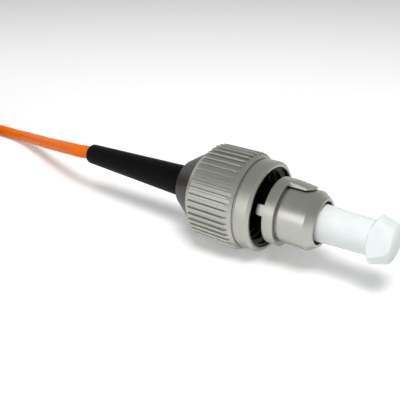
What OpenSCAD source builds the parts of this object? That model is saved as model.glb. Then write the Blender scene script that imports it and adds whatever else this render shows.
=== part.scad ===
// Screw-coupled fibre plug: a keyed barrel with a spring-loaded ferrule, a knurled coupling nut that
// floats and spins on it, a crimped simplex cable with its boot, and a dust cap over the ferrule.
// The plug's axis runs along X with the cap at +X, and the plug lies on its nut on the surface Z = 0.
// Every place along the axis is a distance from the nut's front face, positive towards the cap.
// Angles around the axis start at the top and turn towards -Y.

/* [Coupling nut] */
// Diameter over the knurl's lands
nut_d = 10; // [9.8:0.1:10.4]
// Number of lands around the knurl
knurl_lands = 44; // [40:4:48]
// Depth of the grooves between the lands
knurl_depth = 0.22; // [0.14:0.02:0.28]
// Length of the knurl at its full diameter
knurl_length = 4.15; // [3.9:0.05:4.5]
// Diameter of the smooth collar in front of the knurl
collar_d = 9.1; // [9:0.05:9.2]
// Length of the smooth collar
collar_length = 1.6; // [1.4:0.05:1.8]
// Largest diameter of the coupling thread
thread_d = 8; // [7.9:0.05:8.1]
// Depth of the threaded bore
thread_length = 5.3; // [5.1:0.1:5.5]
// Length of the tapered tail
tail_length = 3.15; // [3.1:0.05:3.4]
// Diameter of the tail's rear end
tail_end_d = 5; // [4.9:0.05:5.2]
// How far the nut floats forward on the barrel
nut_travel = 2; // [1.8:0.05:2.1]

/* [Barrel] */
// Outer diameter of the barrel
barrel_d = 5.72; // [5.6:0.02:5.8]
// How far the barrel stands out of the nut
barrel_reach = 5.5; // [5.3:0.1:5.8]
// Bore of the barrel's mouth
mouth_d = 4.2; // [4.1:0.05:4.3]
// Length of the tapered nose
nose_length = 0.8; // [0.6:0.05:0.9]
// Diameter of the nose at its front
nose_d = 4.7; // [4.6:0.05:4.9]

/* [Key ring] */
// Thickness of the ring around the barrel
ring_wall = 0.45; // [0.4:0.01:0.5]
// Gap from the nut's front face to the ring
ring_gap = 0.76; // [0.7:0.02:0.9]
// Length of the ring along the axis
ring_length = 1.14; // [1:0.02:1.2]
// Width of the forward key
key_w = 2; // [1.9:0.05:2.15]
// How far the key stands forward of the ring
key_length = 2.3; // [2:0.05:2.5]
// Angle of the key around the axis
key_angle = -12; // [-30:1:30]
// Width of the rear tab
tab_w = 1.04; // [0.9:0.02:1.2]
// Angle of the rear tab around the axis
tab_angle = 70; // [50:1:90]

/* [Ferrule] */
// Diameter of the ferrule
ferrule_d = 2.5; // [2.48:0.01:2.52]
// Length of the ferrule
ferrule_length = 10.5; // [10.3:0.05:10.6]
// How far the ferrule stands out of the barrel
ferrule_reach = 0.9; // [0.8:0.05:1]
// How far the ferrule springs back
ferrule_travel = 0.8; // [0.6:0.05:0.85]
// Diameter of the spring's wire
wire_d = 0.28; // [0.24:0.01:0.3]
// Turns of the spring
spring_turns = 6; // [5:1:7]

/* [Boot and cable] */
// Diameter of the cable
cable_d = 1.6; // [1.55:0.01:1.65]
// Diameter over the crimp sleeve
crimp_d = 3.86; // [3.8:0.01:3.9]
// Length of the boot
boot_length = 14.85; // [13:0.05:16]
// Diameter of the boot at its front
boot_front_d = 3.44; // [3.3:0.02:3.6]
// Diameter of the boot at its rear
boot_rear_d = 2.36; // [2.2:0.02:2.6]

/* [Stored cable] */
// Length of the hank's straight runs
hank_run = 24; // [20:0.5:30]
// Bend radius of the hank's inner turns
hank_bend_r = 4.8; // [4.5:0.1:6]
// Turns side by side in the hank
hank_columns = 3; // [2:1:4]
// Turns on top of one another in the hank
hank_layers = 4; // [3:1:5]
// Width of the tie around the hank
tie_w = 4; // [3:0.5:8]
// Thickness of the tie
tie_t = 0.3; // [0.2:0.05:0.5]

/* [Dust cap] */
// Diameter of the cap's tube inside the barrel
cap_tube_d = 3.6; // [3.5:0.02:3.7]
// Diameter of the tube where it meets the head
cap_neck_d = 3.28; // [3.2:0.02:3.4]
// Largest diameter of the head
cap_head_d = 4.5; // [4.3:0.05:4.7]
// How far the head's front stands out of the barrel
cap_reach = 6.9; // [6.6:0.1:7.2]
// Length of the head
cap_head_length = 2.35; // [2.2:0.05:2.5]
// Angle of the two flats around the axis
flat_angle = 68; // [45:1:90]

/* [Fits] */
// Gap around a piece that turns or slides
running_gap = 0.05; // [0.03:0.01:0.07]
// Gap around a piece that is pressed in or glued
seat_gap = 0.02; // [0.01:0.005:0.03]
// Gap around the sprung ferrule
ferrule_gap = 0.08; // [0.06:0.01:0.1]
// Gap at the end of a travel
end_gap = 0.1; // [0.08:0.01:0.12]

/* [Hidden] */
$fn = 96;

// Nut, outside
nut_r = nut_d / 2;
groove_r = nut_r - knurl_depth;
collar_r = collar_d / 2;
thread_r = thread_d / 2;
relief_w = 0.15;
front_slope_length = 0.65;
front_slope_r = collar_r + 0.05;
knurl_front = -(collar_length + relief_w + front_slope_length);
knurl_rear = knurl_front - knurl_length;
rim_chamfer = 0.3;
tail_start = knurl_rear - rim_chamfer;
tail_start_r = nut_r - 0.5;
tail_end = tail_start - tail_length;
// Each land has a flat crest, two sloping shoulders and steep flanks, by width and depth from the crest
land_pitch = 360 / knurl_lands;
land_steps = [[0.34, knurl_depth], [0.28, 0.06], [0.19, 0]];
axis_z = nut_r * cos(width_angle(land_steps[2][0]) / 2);

// Nut, inside: washer recess, web, tail cavity and rear bore
recess_depth = 0.5;
recess_floor = -(thread_length + recess_depth);
web_rear = recess_floor - 0.65;
washer_t = 0.2;
washer_rear = recess_floor + 0.02;
washer_front = washer_rear + washer_t;
washer_r = 3.45;
stop_ring_r = 2.55;
stop_ring_l = 0.6;
cavity_r = stop_ring_r + 2 * running_gap;

// Barrel
barrel_r = barrel_d / 2;
barrel_front = barrel_reach;
barrel_rear = web_rear - running_gap;
journal_r = 2.3;
waist_r = 2.4;
flange_rear = washer_front + nut_travel + 0.03;
flange_front = flange_rear + 0.85;
flange_r = 3.3;
bulkhead_front = 0.8;
bulkhead_rear = -0.9;
ferrule_hole_r = ferrule_d / 2 + ferrule_gap;
stop_ring_rear = barrel_rear - stop_ring_l;
cavity_end = stop_ring_rear - nut_travel - end_gap;
ring_start = ring_gap;
ring_end = ring_start + ring_length;
ring_r = barrel_r + seat_gap + ring_wall;

// Ferrule, spring and fibre
ferrule_r = ferrule_d / 2;
ferrule_front = barrel_front + ferrule_reach;
ferrule_rear = ferrule_front - ferrule_length;
collet_r = 1.8;
chamber_r = collet_r + ferrule_gap;
collet_front = bulkhead_rear - 0.02;
collet_rear = collet_front - 1.18;
sleeve_r = ferrule_r + seat_gap + 0.15;
sleeve_rear = ferrule_rear - 0.3;
tail_tube_r = 0.72;
tail_tube_length = 3.2;
tail_tube_end = sleeve_rear - tail_tube_length;
spigot_front = sleeve_rear - ferrule_travel - end_gap;
spigot_r = chamber_r - seat_gap;
spring_washer_t = 0.15;
spring_front = collet_rear - spring_washer_t - 0.02;
wire_r = wire_d / 2;
spring_r = (sleeve_r + chamber_r) / 2;
fibre_r = 0.0625;
buffer_r = 0.45;
buffer_tail = 5.4;
buffer_end = tail_tube_end - buffer_tail;

// Backbone, crimp and boot
backbone_bore_r = tail_tube_r + ferrule_gap;
post_r = 1.35;
post_start = stop_ring_rear - running_gap;
post_length = 2.5;
post_end = post_start - post_length;
crimp_r = crimp_d / 2;
crimp_bore_r = crimp_r - 0.35;
crimp_front = post_start - running_gap;
crimp_rear = post_end - 0.35;
cable_r = cable_d / 2;
crimp_neck_r = cable_r + seat_gap + 0.33;
crimp_neck_length = 3.25;
crimp_neck_end = crimp_rear - crimp_neck_length;
rear_bore_r = crimp_r + end_gap;
boot_front = crimp_rear - running_gap;
boot_rear = boot_front - boot_length;

// Dust cap
cap_rear = bulkhead_front + ferrule_travel + 2 * end_gap;
cap_front = barrel_front + cap_reach;
head_start = cap_front - cap_head_length;
cap_neck_r = cap_neck_d / 2;
cap_head_r = cap_head_d / 2;
crown_r = cap_head_r - 0.4;
crown_start = cap_front - 0.5;

// The box of everything but the cord is centred on X = 0
nut_face_x = -(boot_rear + cap_front) / 2;

// Hank: its middle, its turns and the tie that lifts it
turn_pitch = 1.03 * cable_d;
hank_lift = tie_t + seat_gap;
hank_outer_turn_r = hank_bend_r + (hank_columns - 1) * turn_pitch;
hank_inner_r = hank_bend_r - turn_pitch / 2;
hank_outer_r = hank_outer_turn_r + turn_pitch / 2;
hank_h = hank_layers * turn_pitch;
hank_entry = [-35, 6];
hank_share = 1 - hank_lift / (axis_z - cable_r);

// Cord: places along the route as [X from the boot's rear, Y, share of the drop to the surface]
route = [
    [0, 0, 0],
    [-1.2, 0, 0.01],
    [-2.4, 0, 0.04],
    [-4, 0.3, 0.09],
    [-5.8, 0.8, 0.17],
    [-7.8, 1.4, 0.26],
    [-10, 2.1, 0.37],
    [-12.4, 2.9, 0.49],
    [-15, 3.8, 0.61],
    [-17.7, 4.7, 0.74],
    [-20.4, 5.5, 0.85],
    [-23, 6, 0.94],
    [-25.8, 6.3, 0.99],
    [-28.5, 6.3, 1],
    [-30.5, 6.1, 0.98],
    [-32.3, 6, hank_share],
];
route_sides = 8;

function polar(r, a) = [r * cos(a), r * sin(a)];
function width_angle(w) = 2 * asin(w / 2 / nut_r);
function unit(v) = v / norm(v);
function arc(centre, r, from, to, steps = 6) =
    [for (i = [0 : steps]) centre + polar(r, from + (to - from) * i / steps)];

// Outline of a rectangle with round corners, between two opposite corners
function round_box(low, high, r) = concat(
    arc([high[0] - r, high[1] - r], r, 0, 90),
    arc([low[0] + r, high[1] - r], r, 90, 180),
    arc([low[0] + r, low[1] + r], r, 180, 270),
    arc([high[0] - r, low[1] + r], r, 270, 360));

// Faces of a closed tube that runs through rings of points, and its two ends
function tube_faces(rings, sides) = concat(
    [[for (j = [0 : sides - 1]) j]],
    [for (i = [0 : rings - 2]) for (j = [0 : sides - 1])
        let (k = (j + 1) % sides)
        [i * sides + j, (i + 1) * sides + j, (i + 1) * sides + k, i * sides + k]],
    [[for (j = [0 : sides - 1]) rings * sides - 1 - j]]);

// From the axis frame (Z along the axis, X upwards) to the part's frame
module on_axis() {
    translate([nut_face_x, 0, axis_z])
        rotate([0, 90, 0])
            rotate([0, 0, 180])
                children();
}

// A turned piece from its half section, given as [radius, place]
module turned(section) {
    rotate_extrude()
        polygon(section);
}

// A plain ring or tube
module ring(outer_r, inner_r, rear, front) {
    turned([[inner_r, rear], [outer_r, rear], [outer_r, front], [inner_r, front]]);
}

// A prism that stands outwards at an angle, from its outline across and along the axis
module radial_prism(angle, outline) {
    rotate([0, 0, angle])
        rotate([90, 0, 90])
            linear_extrude(nut_r)
                polygon(outline);
}

// The straight knurl's cross-section
module knurl_section() {
    half = [for (s = land_steps) [width_angle(s[0]) / 2, nut_r - s[1]]];
    polygon([for (i = [0 : knurl_lands - 1])
        each concat(
            [for (k = [0 : 2]) polar(half[k][1], i * land_pitch - half[k][0])],
            [for (k = [2 : -1 : 0]) polar(half[k][1], i * land_pitch + half[k][0])])]);
}

// Knurled coupling nut with its smooth collar, threaded bore and tapered tail
module coupling_nut() {
    over = 0.2;
    rim = 0.1;
    color([0.6, 0.6, 0.57])
        on_axis()
            intersection() {
                turned([
                    [rear_bore_r, tail_end],
                    [tail_end_d / 2, tail_end],
                    [tail_start_r, tail_start],
                    [nut_r + over, knurl_rear + over * rim_chamfer / (nut_r - tail_start_r)],
                    [nut_r + over, knurl_front - over * front_slope_length / (nut_r - front_slope_r)],
                    [front_slope_r, knurl_front + front_slope_length],
                    [front_slope_r - relief_w, knurl_front + front_slope_length],
                    [collar_r - rim, -collar_length],
                    [collar_r, rim - collar_length],
                    [collar_r, -0.25],
                    [collar_r - 0.25, 0],
                    [thread_r + rim, 0],
                    [thread_r, -rim],
                    [thread_r, -thread_length],
                    [washer_r + running_gap, -thread_length],
                    [washer_r + running_gap, recess_floor],
                    [journal_r + running_gap, recess_floor],
                    [journal_r + running_gap, web_rear],
                    [cavity_r, web_rear],
                    [cavity_r, cavity_end],
                    [rear_bore_r, cavity_end],
                ]);
                translate([0, 0, tail_end - 1])
                    linear_extrude(2 - tail_end)
                        knurl_section();
            }
}

// Thrust washer that floats with the nut and stops against the barrel's flange
module thrust_washer() {
    color([0.75, 0.75, 0.72])
        on_axis()
            ring(washer_r, journal_r + running_gap, washer_rear, washer_front);
}

// Barrel with its nose, bulkhead, spring chamber, flange and the journal that the nut runs on
module barrel() {
    relief_r = barrel_r - 0.11;
    color([0.6, 0.6, 0.57])
        on_axis()
            turned([
                [chamber_r, barrel_rear],
                [journal_r, barrel_rear],
                [journal_r, flange_rear],
                [flange_r, flange_rear],
                [flange_r, flange_front],
                [waist_r, flange_front],
                [waist_r, ring_start],
                [barrel_r, ring_start],
                [barrel_r, ring_end],
                [relief_r, ring_end],
                [relief_r, ring_end + 0.2],
                [barrel_r, ring_end + 0.2],
                [barrel_r, barrel_front - nose_length],
                [nose_d / 2, barrel_front],
                [mouth_d / 2 + 0.06, barrel_front],
                [mouth_d / 2, barrel_front - 0.06],
                [mouth_d / 2, bulkhead_front],
                [ferrule_hole_r, bulkhead_front],
                [ferrule_hole_r, bulkhead_rear],
                [chamber_r, bulkhead_rear],
            ]);
}

// Key ring pressed on the barrel, with its forward key and its rear tab
module key_ring() {
    inner_r = barrel_r + seat_gap;
    under_key_r = barrel_r + end_gap;
    key_end = ring_end + key_length;
    key_corner = 0.55;
    tab_end = 0.1;
    edge = 0.06;
    color([0.62, 0.62, 0.59])
        on_axis() {
            turned([
                [inner_r, ring_start],
                [ring_r - edge, ring_start],
                [ring_r, ring_start + edge],
                [ring_r, ring_end - edge],
                [ring_r - edge, ring_end],
                [inner_r, ring_end],
            ]);
            intersection() {
                turned([
                    [under_key_r, ring_end - 0.3],
                    [ring_r - 0.01, ring_end - 0.3],
                    [ring_r - 0.01, ring_end + 0.3],
                    [ring_r - 0.22, key_end - 0.25],
                    [ring_r - 0.3, key_end],
                    [under_key_r, key_end],
                ]);
                radial_prism(key_angle, [
                    [-key_w / 2, ring_end - 1],
                    [key_w / 2, ring_end - 1],
                    [key_w / 2, key_end - key_corner],
                    [key_w / 2 - key_corner, key_end + 0.01],
                    [key_corner - key_w / 2, key_end + 0.01],
                    [-key_w / 2, key_end - key_corner],
                ]);
            }
            intersection() {
                ring(ring_r - 0.01, inner_r, tab_end - 0.1, ring_start + 0.3);
                radial_prism(tab_angle, round_box([-tab_w / 2, tab_end], [tab_w / 2, ring_start + 0.6], 0.25));
            }
        }
}

// Backbone: the spigot that backs the spring, and the grooved post that the yarn is crimped on
module backbone() {
    groove_pitch = 0.5;
    groove_depth = 0.1;
    grooves = floor((post_start - post_end) / groove_pitch) - 1;
    color([0.72, 0.7, 0.62])
        on_axis()
            turned(concat(
                [[backbone_bore_r, post_end], [post_r - groove_depth, post_end]],
                [for (i = [0 : grooves - 1]) each [
                    [post_r, post_end + 0.1 + i * groove_pitch],
                    [post_r, post_end + 0.3 + i * groove_pitch],
                    [post_r - groove_depth, post_end + 0.4 + i * groove_pitch]]],
                [[post_r - groove_depth, post_start],
                    [spigot_r, post_start],
                    [spigot_r, spigot_front],
                    [backbone_bore_r, spigot_front]]));
}

// Stop ring pressed on the backbone, which the nut comes back against
module stop_ring() {
    color([0.66, 0.66, 0.63])
        on_axis()
            ring(stop_ring_r, spigot_r + seat_gap, stop_ring_rear, barrel_rear);
}

// Ceramic ferrule with a rounded tip and the fibre's fine bore
module ferrule() {
    tip = 0.3;
    tip_sweep = 80;
    color([0.95, 0.94, 0.9])
        on_axis()
            turned(concat(
                [[fibre_r + 0.001, ferrule_rear], [ferrule_r, ferrule_rear]],
                arc([ferrule_r - tip, ferrule_front - tip], tip, 0, tip_sweep),
                [[fibre_r + 0.001, ferrule_front]]));
}

// Metal flange that holds the ferrule, with four slots and a tail tube
module ferrule_flange() {
    slot_w = 0.6;
    slot_depth = 0.28;
    color([0.7, 0.69, 0.64])
        on_axis()
            difference() {
                turned([
                    [buffer_r + 0.05, tail_tube_end],
                    [tail_tube_r, tail_tube_end],
                    [tail_tube_r, sleeve_rear],
                    [sleeve_r, sleeve_rear],
                    [sleeve_r, collet_rear],
                    [collet_r, collet_rear],
                    [collet_r, collet_front],
                    [ferrule_r + seat_gap, collet_front],
                    [ferrule_r + seat_gap, ferrule_rear - seat_gap],
                    [buffer_r + 0.05, ferrule_rear - seat_gap],
                ]);
                for (a = [0 : 90 : 270])
                    rotate([0, 0, a])
                        translate([collet_r - slot_depth, -slot_w / 2, collet_rear - 1])
                            cube([1, slot_w, collet_front - collet_rear + 2]);
            }
}

// Flat washer between the ferrule's flange and the spring
module spring_washer() {
    color([0.78, 0.78, 0.76])
        on_axis()
            ring(collet_r, sleeve_r + seat_gap, spring_front + 0.01, collet_rear - 0.01);
}

// Compression spring with closed ends
module spring() {
    sides = 8;
    steps = 20;
    span = spring_front - spigot_front - wire_d - 0.02;
    end_pitch = 1.03 * wire_d;
    pitch = (span - 2 * end_pitch) / (spring_turns - 2);
    rings = spring_turns * steps + 1;
    function place(s) = s < 1 ? s * end_pitch
        : s > spring_turns - 1 ? span - (spring_turns - s) * end_pitch
        : end_pitch + (s - 1) * pitch;
    points = [for (i = [0 : rings - 1]) for (j = [0 : sides - 1])
        let (
            a = 360 * i / steps,
            b = -360 * j / sides,
            r = spring_r + wire_r * cos(b))
        [r * cos(a), r * sin(a),
            spigot_front + wire_r + 0.01 + place(i / steps) + wire_r * sin(b)]];
    color([0.7, 0.7, 0.7])
        on_axis()
            polyhedron(points, tube_faces(rings, sides));
}

// Bare fibre from the jacket to the ferrule's tip
module optical_fibre() {
    color([0.9, 0.95, 1])
        on_axis()
            turned([[0, buffer_end], [fibre_r, buffer_end], [fibre_r, ferrule_front], [0, ferrule_front]]);
}

// Tight buffer on the fibre, up to the ferrule's rear
module tight_buffer() {
    color([0.95, 0.95, 0.93])
        on_axis()
            ring(buffer_r, fibre_r + 0.001, buffer_end, ferrule_rear - 2 * seat_gap);
}

// Tube inside the backbone that leads the buffer into the tail tube
module inner_tube() {
    color([0.9, 0.9, 0.85])
        on_axis()
            ring(backbone_bore_r - seat_gap, buffer_r + 0.07, post_end - 0.3, tail_tube_end - ferrule_travel - 0.3);
}

// Strength yarn laid over the post, under the crimp
module aramid_yarn() {
    color([0.93, 0.8, 0.35])
        on_axis()
            ring(crimp_bore_r - seat_gap, post_r + seat_gap, post_end, crimp_front - 0.1);
}

// Crimp sleeve over the yarn, with a neck that grips the jacket
module crimp_sleeve() {
    wall = 0.2;
    edge = 0.15;
    color([0.72, 0.72, 0.69])
        on_axis()
            turned([
                [cable_r + seat_gap, crimp_neck_end],
                [crimp_neck_r, crimp_neck_end],
                [crimp_neck_r, crimp_rear],
                [crimp_r - edge, crimp_rear],
                [crimp_r, crimp_rear + edge],
                [crimp_r, crimp_front],
                [crimp_bore_r, crimp_front],
                [crimp_bore_r, crimp_rear + wall],
                [cable_r + seat_gap, crimp_rear + wall],
            ]);
}

// Cable jacket inside the boot, hollow where the buffer slides
module jacket_end() {
    color([0.93, 0.45, 0.05])
        on_axis()
            turned([
                [0, boot_rear],
                [cable_r, boot_rear],
                [cable_r, post_end - 0.3],
                [buffer_r + 0.05, post_end - 0.3],
                [buffer_r + 0.05, buffer_end - ferrule_travel - 0.2],
                [0, buffer_end - ferrule_travel - 0.2],
            ]);
}

// Tapered rubber boot with a round rear lip
module boot() {
    lip = 0.2;
    rear_r = boot_rear_d / 2;
    bore_step = crimp_neck_end - 0.1;
    color([0.06, 0.06, 0.06])
        on_axis()
            turned(concat(
                [[cable_r + seat_gap, boot_rear]],
                arc([rear_r - lip, boot_rear + lip], lip, -90, 0),
                arc([boot_front_d / 2 - 0.08, boot_front - 0.08], 0.08, 0, 90, 4),
                [[crimp_neck_r + seat_gap, boot_front],
                    [crimp_neck_r + seat_gap, bore_step],
                    [cable_r + seat_gap, bore_step]]));
}

// Dust cap over the ferrule: a tapered tube and a domed head with two finger flats
module dust_cap() {
    bore_r = ferrule_r + seat_gap;
    bore_end = ferrule_front + 0.2;
    tube_r = cap_tube_d / 2;
    flat_x = cap_neck_r - 0.03;
    color([0.86, 0.9, 0.92])
        on_axis()
            difference() {
                turned(concat(
                    [[0, bore_end],
                        [bore_r, bore_end],
                        [bore_r, cap_rear + 0.2],
                        [bore_r + 0.1, cap_rear],
                        [tube_r - 0.1, cap_rear],
                        [tube_r, cap_rear + 0.2],
                        [tube_r, barrel_front],
                        [cap_neck_r, head_start],
                        [cap_head_r - 0.07, head_start + 0.4],
                        [cap_head_r, head_start + 0.5]],
                    [for (a = [0 : 10 : 90])
                        [crown_r * cos(a), crown_start + (cap_front - crown_start) * sin(a)]]));
                for (side = [0, 180])
                    rotate([0, 0, flat_angle + side])
                        translate([flat_x, -cap_head_d, head_start + 0.06])
                            cube([cap_head_d, 2 * cap_head_d, cap_head_length]);
            }
}

// Place of a point of the route in the part's frame
function route_point(p) =
    [nut_face_x + boot_rear + p[0], p[1], axis_z + (cable_r - axis_z) * p[2]];

// Direction of the route at one of its points
function route_direction(i) =
    let (
        a = route_point(route[max(i - 1, 0)]),
        b = route_point(route[min(i + 1, len(route) - 1)]))
    i == 0 ? [-1, 0, 0] : unit(b - a);

// Cable from the boot's rear to the hank
module cable() {
    points = [for (i = [0 : len(route) - 1])
        let (
            c = route_point(route[i]),
            d = route_direction(i),
            side = unit(cross(d, [0, 0, 1])),
            up = cross(side, d))
        for (j = [0 : route_sides - 1])
            let (a = 360 * (j + 0.5) / route_sides)
            c + cable_r * (cos(a) * side + sin(a) * up)];
    color([0.93, 0.45, 0.05])
        polyhedron(points, tube_faces(len(route), route_sides));
}

// Outline of a loop with two straight runs and round ends
function racetrack(r) = concat(
    arc([0, 0], r, 90, -90, 24),
    arc([-hank_run, 0], r, -90, -270, 24));

// Outer shape of the cable's stored length
module cable_hank() {
    color([0.9, 0.42, 0.05])
        hank_place()
            translate([0, 0, hank_lift])
                linear_extrude(hank_h)
                    difference() {
                        polygon(racetrack(hank_outer_r));
                        polygon(racetrack(hank_inner_r));
                    }
}

// Middle of the hank's first round end, on the surface
module hank_place() {
    translate([nut_face_x + boot_rear + hank_entry[0], hank_entry[1] - hank_outer_turn_r, 0])
        children();
}

// Soft tie around the hank's two runs
module cable_tie() {
    half_w = hank_outer_r + seat_gap;
    edge = 0.8;
    color([0.1, 0.1, 0.1])
        hank_place()
            translate([-(hank_run + tie_w) / 2, 0, 0])
                rotate([90, 0, 90])
                    linear_extrude(tie_w)
                        difference() {
                            polygon(round_box([-half_w - tie_t, 0],
                                [half_w + tie_t, hank_lift + hank_h + hank_lift], edge));
                            polygon(round_box([-half_w, tie_t],
                                [half_w, hank_lift + hank_h + seat_gap], edge - tie_t));
                        }
}

coupling_nut();
thrust_washer();
barrel();
key_ring();
backbone();
stop_ring();
ferrule();
ferrule_flange();
spring_washer();
spring();
optical_fibre();
tight_buffer();
inner_tube();
aramid_yarn();
crimp_sleeve();
jacket_end();
boot();
dust_cap();
cable();
cable_hank();
cable_tie();
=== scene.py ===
"""Screw-coupled fibre connector with its boot, orange cable and translucent dust cap.

The CAD frame gives every rigid piece. This script adds the nut's thread helix and the cable as
one cord, and finishes every surface. Lengths are metres, in the row frame: X runs along the plug
towards the cap, and the plug lies on the floor at Z = 0.
"""
import math

import bpy
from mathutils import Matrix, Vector


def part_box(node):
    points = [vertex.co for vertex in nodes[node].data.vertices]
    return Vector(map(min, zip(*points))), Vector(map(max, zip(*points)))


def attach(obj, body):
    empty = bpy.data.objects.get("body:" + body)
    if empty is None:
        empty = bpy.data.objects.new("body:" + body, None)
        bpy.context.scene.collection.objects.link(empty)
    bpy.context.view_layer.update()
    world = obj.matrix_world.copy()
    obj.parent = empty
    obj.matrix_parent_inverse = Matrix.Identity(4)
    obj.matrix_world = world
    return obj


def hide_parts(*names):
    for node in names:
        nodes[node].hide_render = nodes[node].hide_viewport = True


MM = 0.001

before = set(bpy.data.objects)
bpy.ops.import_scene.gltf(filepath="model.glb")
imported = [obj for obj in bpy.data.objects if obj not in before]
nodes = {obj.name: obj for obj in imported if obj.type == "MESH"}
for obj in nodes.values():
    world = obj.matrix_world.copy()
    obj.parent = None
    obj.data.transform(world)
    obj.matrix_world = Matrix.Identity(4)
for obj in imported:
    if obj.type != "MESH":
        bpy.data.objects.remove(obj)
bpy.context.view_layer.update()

# The plug's axis, and the nut's front face, from which places along the axis are counted
NUT_LOW, NUT_HIGH = (Vector(corner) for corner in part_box("coupling_nut"))
AXIS_Z = (NUT_LOW.z + NUT_HIGH.z) / 2
NUT_FACE_X = NUT_HIGH.x
BOOT_REAR_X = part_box("boot")[0][0]


# ---------------------------------------------------------------- camera
CAMERA_LENS_MM = 49.5
CAMERA_PLACE = (NUT_FACE_X + 22.94 * MM, -42.77 * MM, AXIS_Z + 23.73 * MM)
CAMERA_DIRECTION = Vector((-0.5364, 0.7259, -0.4306))


def make_camera():
    """A 50 mm view from the front right, looking down at the plug at about 25 degrees."""
    data = bpy.data.cameras.new("camera")
    data.sensor_width = 36
    data.lens = CAMERA_LENS_MM
    data.clip_start = 1 * MM
    data.clip_end = 5
    camera = bpy.data.objects.new("camera", data)
    camera.location = CAMERA_PLACE
    camera.rotation_euler = CAMERA_DIRECTION.to_track_quat("-Z", "Y").to_euler()
    bpy.context.scene.collection.objects.link(camera)
    bpy.context.scene.camera = camera


make_camera()


# ---------------------------------------------------------------- shader helpers
class Shader:
    """A small builder for one material's node tree."""

    def __init__(self, name):
        self.material = bpy.data.materials.new(name)
        self.material.use_nodes = True
        self.tree = self.material.node_tree
        self.tree.nodes.clear()
        self.output = self.node("ShaderNodeOutputMaterial")

    def node(self, kind, **settings):
        made = self.tree.nodes.new(kind)
        for key, value in settings.items():
            setattr(made, key, value)
        return made

    def link(self, source, target):
        self.tree.links.new(source, target)

    def principled(self, **values):
        shader = self.node("ShaderNodeBsdfPrincipled")
        for key, value in values.items():
            shader.inputs[key].default_value = value
        self.link(shader.outputs["BSDF"], self.output.inputs["Surface"])
        return shader

    def place(self):
        """The row frame's coordinates of the piece at rest."""
        return self.node("ShaderNodeTexCoord").outputs["Object"]

    def math(self, operation, first, second=0.0):
        made = self.node("ShaderNodeMath", operation=operation)
        for socket, value in zip(made.inputs, (first, second)):
            if isinstance(value, (int, float)):
                socket.default_value = value
            else:
                self.link(value, socket)
        return made.outputs["Value"]

    def around_axis(self):
        """Distance from the plug's axis, place along it, and angle around it."""
        split = self.node("ShaderNodeSeparateXYZ")
        self.link(self.place(), split.inputs["Vector"])
        up = self.math("SUBTRACT", split.outputs["Z"], AXIS_Z)
        side = split.outputs["Y"]
        square = self.math("ADD", self.math("MULTIPLY", up, up), self.math("MULTIPLY", side, side))
        radius = self.math("SQRT", square)
        angle = self.math("ARCTAN2", side, up)
        return radius, split.outputs["X"], angle

    def vector(self, x, y, z):
        made = self.node("ShaderNodeCombineXYZ")
        for socket, value in zip(made.inputs, (x, y, z)):
            if isinstance(value, (int, float)):
                socket.default_value = value
            else:
                self.link(value, socket)
        return made.outputs["Vector"]

    def noise(self, vector, scale, detail=3.0):
        made = self.node("ShaderNodeTexNoise")
        made.inputs["Scale"].default_value = scale
        made.inputs["Detail"].default_value = detail
        self.link(vector, made.inputs["Vector"])
        return made.outputs["Fac"]

    def ramp(self, factor, *stops):
        """Colours or grey levels at places along a factor."""
        made = self.node("ShaderNodeValToRGB")
        elements = made.color_ramp.elements
        while len(elements) < len(stops):
            elements.new(0.5)
        for element, (place, value) in zip(elements, stops):
            element.position = place
            if isinstance(value, (int, float)):
                value = (value, value, value)
            element.color = (*value, 1)
        self.link(factor, made.inputs["Fac"])
        return made.outputs["Color"]

    def mix(self, factor, first, second, blend="MIX"):
        made = self.node("ShaderNodeMix", data_type="RGBA", blend_type=blend)
        for name, value in (("Factor", factor), ("A", first), ("B", second)):
            sockets = [s for s in made.inputs if s.name == name]
            if name == "Factor":
                socket = sockets[0]
            else:
                socket = next(s for s in sockets if s.type == "RGBA")
            if isinstance(value, (int, float)):
                socket.default_value = value
            elif isinstance(value, tuple):
                socket.default_value = (*value, 1)
            else:
                self.link(value, socket)
        return next(s for s in made.outputs if s.type == "RGBA")

    def bump(self, height, strength, distance):
        made = self.node("ShaderNodeBump")
        made.inputs["Strength"].default_value = strength
        made.inputs["Distance"].default_value = distance
        self.link(height, made.inputs["Height"])
        return made.outputs["Normal"]


# ---------------------------------------------------------------- materials
MARKS_SCALE = 9000
BUMP_DEPTH = 0.01 * MM
# Painted shade: a near-black colour that stands for the shade inside the nut's bore and the barrel
BORE_PAINTED_SHADE = (0.045, 0.042, 0.038)


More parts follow.
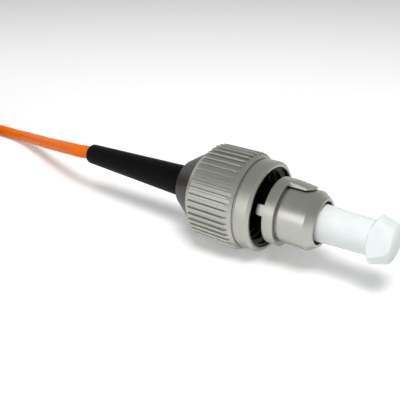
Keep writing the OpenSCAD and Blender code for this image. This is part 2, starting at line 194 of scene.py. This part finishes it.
def plated_metal(name, light, dark, roughness, painted_shade_r=0.0, painted_shade_x=0.0):
    """Satin plate with turning marks, a fine grain and a faint cloudiness.

    Where its last two arguments are given, it is painted dark as shade within that radius of the
    axis, up to that distance past the nut's front face.
    """
    s = Shader(name)
    shader = s.principled(Metallic=1.0)
    radius, along, angle = s.around_axis()
    # Turning marks run around the axis, so they vary along it and hardly around it
    marks_place = s.vector(s.math("MULTIPLY", along, MARKS_SCALE),
                           s.math("MULTIPLY", radius, MARKS_SCALE), angle)
    marks = s.noise(marks_place, 1.0, detail=2.0)
    grain = s.noise(s.place(), MARKS_SCALE, detail=2.0)
    clouds = s.noise(s.place(), 420, detail=3.0)
    tone = s.math("ADD", s.math("MULTIPLY", clouds, 0.6), s.math("MULTIPLY", marks, 0.4))
    colour = s.ramp(tone, (0.3, dark), (0.7, light))
    if painted_shade_r:
        # Painted shade: near the axis and behind the given place, the colour turns near black to
        # stand for the shade in the bore
        painted_shade_mask = s.math("MULTIPLY", s.math("LESS_THAN", radius, painted_shade_r),
                        s.math("LESS_THAN", along, NUT_FACE_X + painted_shade_x))
        colour = s.mix(painted_shade_mask, colour, BORE_PAINTED_SHADE)
    s.link(colour, shader.inputs["Base Color"])
    wear = s.math("ADD", s.math("MULTIPLY", marks, 0.5), s.math("MULTIPLY", clouds, 0.5))
    s.link(s.ramp(wear, (0.3, roughness - 0.05), (0.7, roughness + 0.06)),
           shader.inputs["Roughness"])
    height = s.math("ADD", s.math("MULTIPLY", marks, 0.7), s.math("MULTIPLY", grain, 0.3))
    s.link(s.bump(height, 0.35, 0.006 * MM), shader.inputs["Normal"])
    return s.material


def rubber():
    """Black moulded rubber with a fine matt grain."""
    s = Shader("black_rubber")
    shader = s.principled(Metallic=0.0)
    grain = s.noise(s.place(), 14000, detail=3.0)
    clouds = s.noise(s.place(), 600, detail=2.0)
    s.link(s.ramp(clouds, (0.3, 0.002), (0.7, 0.003)), shader.inputs["Base Color"])
    s.link(s.ramp(clouds, (0.3, 0.42), (0.7, 0.52)), shader.inputs["Roughness"])
    s.link(s.bump(grain, 0.5, BUMP_DEPTH), shader.inputs["Normal"])
    shader.inputs["Specular IOR Level"].default_value = 0.05
    return s.material


def jacket():
    """Smooth orange jacket with the faint waviness of an extruded cable."""
    s = Shader("orange_jacket")
    shader = s.principled(Metallic=0.0)
    shader.inputs["Specular IOR Level"].default_value = 0.1
    clouds = s.noise(s.place(), 500, detail=2.0)
    grain = s.noise(s.place(), 6000, detail=2.0)
    s.link(s.ramp(clouds, (0.3, (0.70, 0.125, 0.0)), (0.7, (0.78, 0.150, 0.0))),
           shader.inputs["Base Color"])
    s.link(s.ramp(clouds, (0.3, 0.34), (0.7, 0.44)), shader.inputs["Roughness"])
    s.link(s.bump(grain, 0.25, BUMP_DEPTH), shader.inputs["Normal"])
    return s.material


def cap_plastic():
    """Natural polyethylene: milky, bluish white and partly see-through."""
    s = Shader("clear_cap")
    shader = s.principled(Metallic=0.0)
    clouds = s.noise(s.place(), 500, detail=3.0)
    grain = s.noise(s.place(), 5000, detail=2.0)
    s.link(s.ramp(clouds, (0.3, (0.76, 0.81, 0.805)), (0.7, (0.82, 0.865, 0.86))),
           shader.inputs["Base Color"])
    s.link(s.ramp(clouds, (0.3, 0.46), (0.7, 0.54)), shader.inputs["Roughness"])
    s.link(s.bump(grain, 0.3, BUMP_DEPTH), shader.inputs["Normal"])
    shader.inputs["IOR"].default_value = 1.5
    shader.inputs["Transmission Weight"].default_value = 0.12
    shader.inputs["Subsurface Weight"].default_value = 0.5
    shader.inputs["Subsurface Radius"].default_value = (1.0, 1.1, 1.2)
    shader.inputs["Subsurface Scale"].default_value = 1.2 * MM
    return s.material


def plain(name, light, dark, roughness, metallic=0.0, scale=900):
    """A simple finish with a little variation, for inner pieces."""
    s = Shader(name)
    shader = s.principled(Metallic=metallic)
    clouds = s.noise(s.place(), scale)
    s.link(s.ramp(clouds, (0.3, dark), (0.7, light)), shader.inputs["Base Color"])
    s.link(s.ramp(clouds, (0.3, roughness - 0.05), (0.7, roughness + 0.05)),
           shader.inputs["Roughness"])
    s.link(s.bump(clouds, 0.2, BUMP_DEPTH), shader.inputs["Normal"])
    return s.material


NICKEL_LIGHT = (0.47, 0.47, 0.435)
NICKEL_DARK = (0.40, 0.40, 0.37)
NICKEL = plated_metal("nickel_plate", NICKEL_LIGHT, NICKEL_DARK, 0.42,
                      painted_shade_r=4.1 * MM, painted_shade_x=-0.02 * MM)
BARREL_NICKEL = plated_metal("barrel_nickel", NICKEL_LIGHT, NICKEL_DARK, 0.36,
                             painted_shade_r=2.6 * MM, painted_shade_x=0.8 * MM)
KEY_NICKEL = plated_metal("key_nickel", NICKEL_LIGHT, NICKEL_DARK, 0.38)
CRIMP = plated_metal("crimp_alloy", (0.78, 0.78, 0.75), (0.68, 0.68, 0.66), 0.25)
STEEL = plated_metal("bright_steel", (0.66, 0.66, 0.64), (0.56, 0.56, 0.55), 0.25)
RUBBER = rubber()
JACKET = jacket()
CAP = cap_plastic()
BRASS = plain("bare_brass", (0.74, 0.6, 0.3), (0.66, 0.52, 0.26), 0.3, metallic=1.0)
ZIRCONIA = plain("zirconia", (0.92, 0.91, 0.87), (0.88, 0.87, 0.83), 0.15)
SILICA = plain("silica", (0.9, 0.93, 0.95), (0.86, 0.9, 0.93), 0.1)
WHITE = plain("white_plastic", (0.88, 0.88, 0.85), (0.82, 0.82, 0.8), 0.45)
STRAP = plain("black_strap", (0.035, 0.035, 0.036), (0.02, 0.02, 0.021), 0.8, scale=9000)
ARAMID = plain("aramid", (0.86, 0.66, 0.16), (0.7, 0.5, 0.1), 0.6, scale=5000)

FINISHES = {
    "coupling_nut": NICKEL,
    "barrel": BARREL_NICKEL,
    "key_ring": KEY_NICKEL,
    "stop_ring": KEY_NICKEL,
    "thrust_washer": STEEL,
    "backbone": BRASS,
    "ferrule": ZIRCONIA,
    "ferrule_flange": STEEL,
    "spring_washer": STEEL,
    "spring": STEEL,
    "optical_fibre": SILICA,
    "tight_buffer": WHITE,
    "inner_tube": WHITE,
    "aramid_yarn": ARAMID,
    "crimp_sleeve": CRIMP,
    "jacket_end": JACKET,
    "boot": RUBBER,
    "dust_cap": CAP,
    "cable_tie": STRAP,
}


def finish_nodes():
    for name, material in FINISHES.items():
        slots = nodes[name].material_slots
        if not slots:
            nodes[name].data.materials.append(material)
        for slot in slots:
            slot.material = material


finish_nodes()


# ---------------------------------------------------------------- cable
CABLE_R = 0.8 * MM
TURN_PITCH = 1.03 * 2 * CABLE_R
HANK_RUN = 24 * MM
HANK_BEND_R = 4.8 * MM
HANK_COLUMNS = 3
HANK_TURNS = 11
HANK_LIFT = 0.32 * MM
HANK_SHARE = 1 - HANK_LIFT / (AXIS_Z - CABLE_R)
FOLD_STEPS = 16
RUN_STEPS = 12
# The route of part.scad: [X from the boot's rear, Y, share of the drop to the floor]
ROUTE = [
    (0, 0, 0),
    (-1.2, 0, 0.01),
    (-2.4, 0, 0.04),
    (-4, 0.3, 0.09),
    (-5.8, 0.8, 0.17),
    (-7.8, 1.4, 0.26),
    (-10, 2.1, 0.37),
    (-12.4, 2.9, 0.49),
    (-15, 3.8, 0.61),
    (-17.7, 4.7, 0.74),
    (-20.4, 5.5, 0.85),
    (-23, 6, 0.94),
    (-25.8, 6.3, 0.99),
    (-28.5, 6.3, 1),
    (-30.5, 6.1, 0.98),
    (-32.3, 6, HANK_SHARE),
]
HANK_ENTRY = Vector((BOOT_REAR_X - 35 * MM, 6 * MM, CABLE_R + HANK_LIFT))


def smooth_step(share):
    share = min(max(share, 0.0), 1.0)
    return share * share * (3 - 2 * share)


def smooth_through(points, steps=6):
    """Points on a Catmull-Rom curve through the given ones."""
    ends = [points[0] * 2 - points[1], *points, points[-1] * 2 - points[-2]]
    curve = []
    for a, b, c, d in zip(ends, ends[1:], ends[2:], ends[3:]):
        for i in range(steps):
            t = i / steps
            curve.append(0.5 * (2 * b + (c - a) * t + (2 * a - 5 * b + 4 * c - d) * t * t
                                + (3 * b - a - 3 * c + d) * t ** 3))
    return curve + [points[-1]]


def hank_points():
    """Long turns side by side and on top of one another, from the outer turn at the bottom."""
    outer_r = HANK_BEND_R + (HANK_COLUMNS - 1) * TURN_PITCH
    middle = HANK_ENTRY - Vector((0, outer_r, 0))

    def seat(turn):
        layer, place = divmod(turn, HANK_COLUMNS)
        column = place if layer % 2 == 0 else HANK_COLUMNS - 1 - place
        return outer_r - column * TURN_PITCH, layer * TURN_PITCH

    points = []
    for turn in range(HANK_TURNS):
        radius, height = seat(turn)
        next_radius, next_height = seat(min(turn + 1, HANK_TURNS - 1))
        for step in range(RUN_STEPS):
            points.append(middle + Vector((-HANK_RUN * step / RUN_STEPS, radius, height)))
        for step in range(FOLD_STEPS):
            angle = math.pi * step / FOLD_STEPS
            across, out = radius * math.cos(angle), radius * math.sin(angle)
            points.append(middle + Vector((-HANK_RUN - out, across, height)))
        # On the way back a turn moves sideways to its next seat, and then up to the next layer
        for step in range(RUN_STEPS):
            share = step / RUN_STEPS
            r = radius + (next_radius - radius) * smooth_step(2 * share)
            z = height + (next_height - height) * smooth_step(2 * share - 1)
            points.append(middle + Vector((-HANK_RUN * (1 - share), -r, z)))
        for step in range(FOLD_STEPS):
            angle = math.pi * step / FOLD_STEPS
            across, out = next_radius * math.cos(angle), next_radius * math.sin(angle)
            points.append(middle + Vector((out, -across, next_height)))
    return points


def make_cable():
    """The whole cable as one curve: along the floor to the hank, round it, and to its cut end."""
    drop = CABLE_R - AXIS_Z
    route = [Vector((BOOT_REAR_X + x * MM, y * MM, AXIS_Z + drop * share)) for x, y, share in ROUTE]
    points = smooth_through(route) + hank_points()
    data = bpy.data.curves.new("cable_run", "CURVE")
    data.dimensions = "3D"
    data.bevel_depth = CABLE_R
    data.bevel_resolution = 6
    data.use_fill_caps = True
    spline = data.splines.new("POLY")
    spline.points.add(len(points) - 1)
    for target, point in zip(spline.points, points):
        target.co = (*point, 1)
    spline.use_smooth = True
    piece = bpy.data.objects.new("cable_run", data)
    bpy.context.scene.collection.objects.link(piece)
    data.materials.append(JACKET)
    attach(piece, "frame")
    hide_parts("cable", "cable_hank")


make_cable()


# ---------------------------------------------------------------- thread
def make_thread():
    """The nut's right-handed inner thread, as one ridge wound along its bore."""
    pitch, major_r, minor_r = 0.75 * MM, 4.02 * MM, 3.62 * MM
    start, stop = -5.2 * MM, -0.25 * MM
    steps = 72
    crest, root = 0.05 * MM, 0.32 * MM
    section = [(major_r, -root), (minor_r, -crest), (minor_r, crest), (major_r, root)]
    turns = (stop - start) / pitch
    rings = int(turns * steps) + 1
    verts, faces = [], []
    for i in range(rings):
        angle = 2 * math.pi * i / steps
        # The ridge fades in and out over the first and last third of a turn
        fade = min(1.0, 3 * i / steps, 3 * (rings - 1 - i) / steps)
        for radius, offset in section:
            r = major_r + (radius - major_r) * fade
            x = NUT_FACE_X + start + pitch * i / steps + offset * max(fade, 0.3)
            verts.append((x, -r * math.sin(angle), AXIS_Z + r * math.cos(angle)))
    n = len(section)
    for i in range(rings - 1):
        for j in range(n):
            k = (j + 1) % n
            faces.append((i * n + j, i * n + k, (i + 1) * n + k, (i + 1) * n + j))
    faces.append(tuple(range(n - 1, -1, -1)))
    faces.append(tuple(range((rings - 1) * n, rings * n)))
    mesh = bpy.data.meshes.new("nut_thread")
    mesh.from_pydata(verts, [], faces)
    mesh.validate()
    piece = bpy.data.objects.new("nut_thread", mesh)
    bpy.context.scene.collection.objects.link(piece)
    mesh.materials.append(NICKEL)
    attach(piece, "nut")


make_thread()


# ---------------------------------------------------------------- floor and light
FLOOR_GLOW = 0.25
ROOM_LOW, ROOM_HIGH = 0.55, 0.28
METAL_ROOM_GAIN = (1.75, 1.75, 1.72)


def make_floor():
    """A white floor that shows plain white to the camera and in the metal, and keeps the shadow."""
    half = 1.5
    corners = [(-half, -half, 0), (half, -half, 0), (half, half, 0), (-half, half, 0)]
    mesh = bpy.data.meshes.new("floor")
    mesh.from_pydata(corners, [], [(0, 1, 2, 3)])
    floor = bpy.data.objects.new("floor", mesh)
    bpy.context.scene.collection.objects.link(floor)
    s = Shader("floor")
    rays = s.node("ShaderNodeLightPath")
    mirrored = s.math("MAXIMUM", rays.outputs["Is Glossy Ray"],
                      rays.outputs["Is Transmission Ray"])
    seen = s.math("MAXIMUM", rays.outputs["Is Camera Ray"], mirrored)
    matt = s.node("ShaderNodeBsdfDiffuse")
    matt.inputs["Color"].default_value = (0.8, 0.8, 0.8, 1)
    glow = s.node("ShaderNodeEmission")
    s.link(s.math("MULTIPLY", seen, FLOOR_GLOW), glow.inputs["Strength"])
    both = s.node("ShaderNodeAddShader")
    s.link(matt.outputs["BSDF"], both.inputs[0])
    s.link(glow.outputs["Emission"], both.inputs[1])
    s.link(both.outputs["Shader"], s.output.inputs["Surface"])
    mesh.materials.append(s.material)


def make_world():
    """Soft studio light from all round, paler near the horizon, and plain white behind the floor."""
    world = bpy.data.worlds.new("studio")
    bpy.context.scene.world = world
    world.use_nodes = True
    tree = world.node_tree
    tree.nodes.clear()
    output = tree.nodes.new("ShaderNodeOutputWorld")
    background = tree.nodes.new("ShaderNodeBackground")
    coordinates = tree.nodes.new("ShaderNodeTexCoord")
    split = tree.nodes.new("ShaderNodeSeparateXYZ")
    ramp = tree.nodes.new("ShaderNodeValToRGB")
    rays = tree.nodes.new("ShaderNodeLightPath")
    mix = tree.nodes.new("ShaderNodeMix")
    mix.data_type = "RGBA"
    stops = ramp.color_ramp.elements
    stops[0].position, stops[0].color = 0.05, (ROOM_LOW, ROOM_LOW, ROOM_LOW, 1)
    stops[1].position, stops[1].color = 0.55, (ROOM_HIGH, ROOM_HIGH, ROOM_HIGH, 1)
    tree.links.new(coordinates.outputs["Generated"], split.inputs["Vector"])
    tree.links.new(split.outputs["Z"], ramp.inputs["Fac"])
    colours = [s for s in mix.inputs if s.type == "RGBA"]
    tree.links.new(rays.outputs["Is Camera Ray"], mix.inputs["Factor"])
    # The metal mirrors a brighter room than the one that lights the floor
    brighter = tree.nodes.new("ShaderNodeMix")
    brighter.data_type = "RGBA"
    brighter.blend_type = "MULTIPLY"
    gain = [s for s in brighter.inputs if s.type == "RGBA"]
    gain[1].default_value = (*METAL_ROOM_GAIN, 1)
    tree.links.new(rays.outputs["Is Glossy Ray"], brighter.inputs["Factor"])
    tree.links.new(ramp.outputs["Color"], gain[0])
    tree.links.new(next(s for s in brighter.outputs if s.type == "RGBA"), colours[0])
    colours[1].default_value = (1, 1, 1, 1)
    tree.links.new(next(s for s in mix.outputs if s.type == "RGBA"), background.inputs["Color"])
    background.inputs["Strength"].default_value = 1.0
    tree.links.new(background.outputs["Background"], output.inputs["Surface"])


def area_light(name, place, size, power, glossy=True):
    """A soft box that faces the plug, and shows in the metal if glossy."""
    data = bpy.data.lights.new(name, "AREA")
    data.shape = "SQUARE"
    data.size = size
    data.energy = power
    light = bpy.data.objects.new(name, data)
    light.location = place
    target = Vector((0, 0, AXIS_Z))
    light.rotation_euler = (target - Vector(place)).to_track_quat("-Z", "Y").to_euler()
    light.visible_glossy = glossy
    bpy.context.scene.collection.objects.link(light)


make_floor()
make_world()
area_light("key_light", (0.045, -0.06, 0.24), 0.12, 0.56, glossy=False)
area_light("fill_light", (-0.05, -0.25, 0.08), 0.12, 0.12)

bpy.context.scene.view_settings.view_transform = "Standard"
